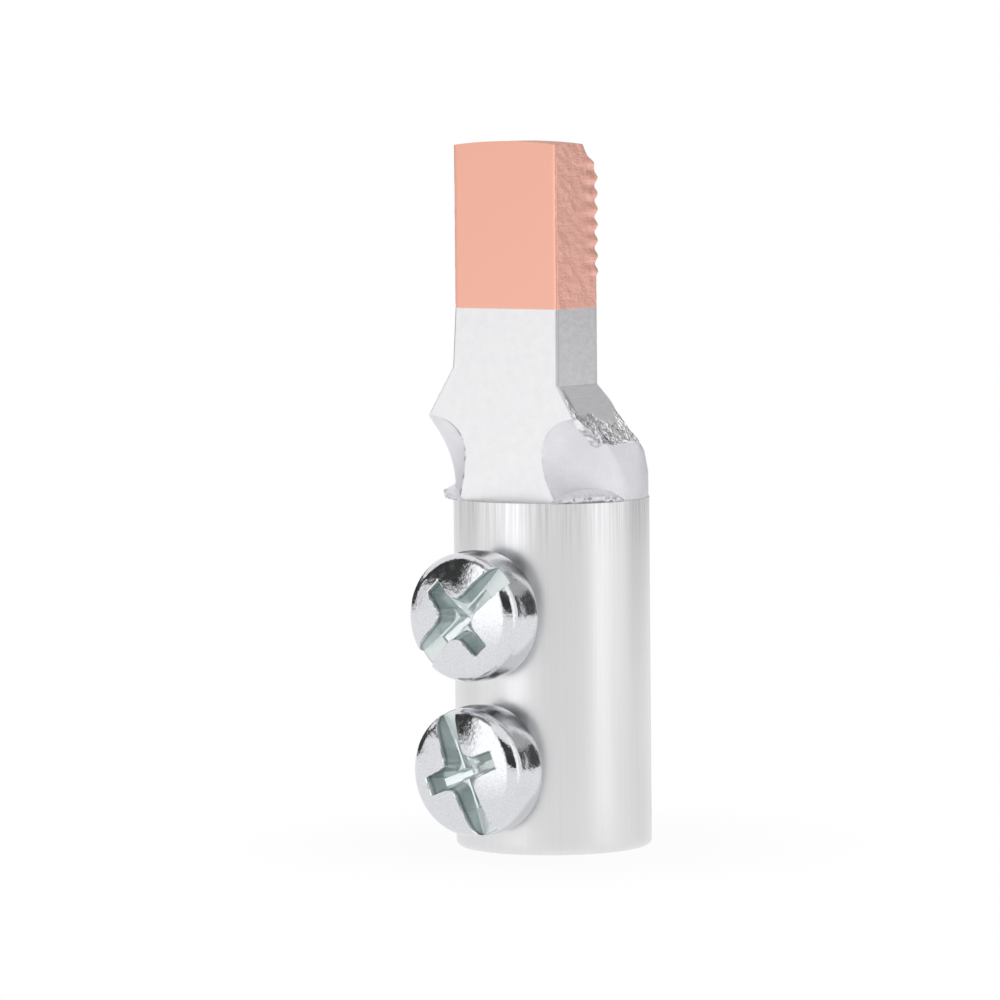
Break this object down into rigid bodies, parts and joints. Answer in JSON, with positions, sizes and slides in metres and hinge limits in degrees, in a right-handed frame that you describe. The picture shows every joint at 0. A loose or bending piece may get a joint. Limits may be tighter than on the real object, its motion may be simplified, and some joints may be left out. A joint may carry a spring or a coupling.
{
  "type": "bimetallic pin lug",
  "caption": "Mechanical cable lug: an aluminium barrel with a blind bore and clamp screws, forged into a flat pin with a grooved copper tip.",
  "frame": {"origin": "centre of the cable bore's mouth, on the barrel's flat end", "axes": "+Z along the barrel's axis to the tip of the pin, -Y the way the clamp screws and the pin's flat face look"},
  "size_m": [0.0162, 0.022, 0.0576],
  "materials": {
    "aluminium": "forged and turned, satin",
    "copper": "bare copper, sheared and pressed",
    "zinc_plated_steel": "bright zinc plating"
  },
  "bodies": {
    "lug": {"lug_body": "aluminium", "copper_pin": "copper"},
    "upper_screw": {"upper_clamp_screw": "zinc_plated_steel"},
    "lower_screw": {"lower_clamp_screw": "zinc_plated_steel"}
  },
  "joints": [
    {"name": "upper_screw_travel", "type": "slide", "parent": "lug", "child": "upper_screw", "axis": [0, -1, 0], "range_m": [-0.0015, 0.002]},
    {"name": "lower_screw_travel", "type": "slide", "parent": "lug", "child": "lower_screw", "axis": [0, -1, 0], "range_m": [-0.0011, 0.0024]}
  ]
}
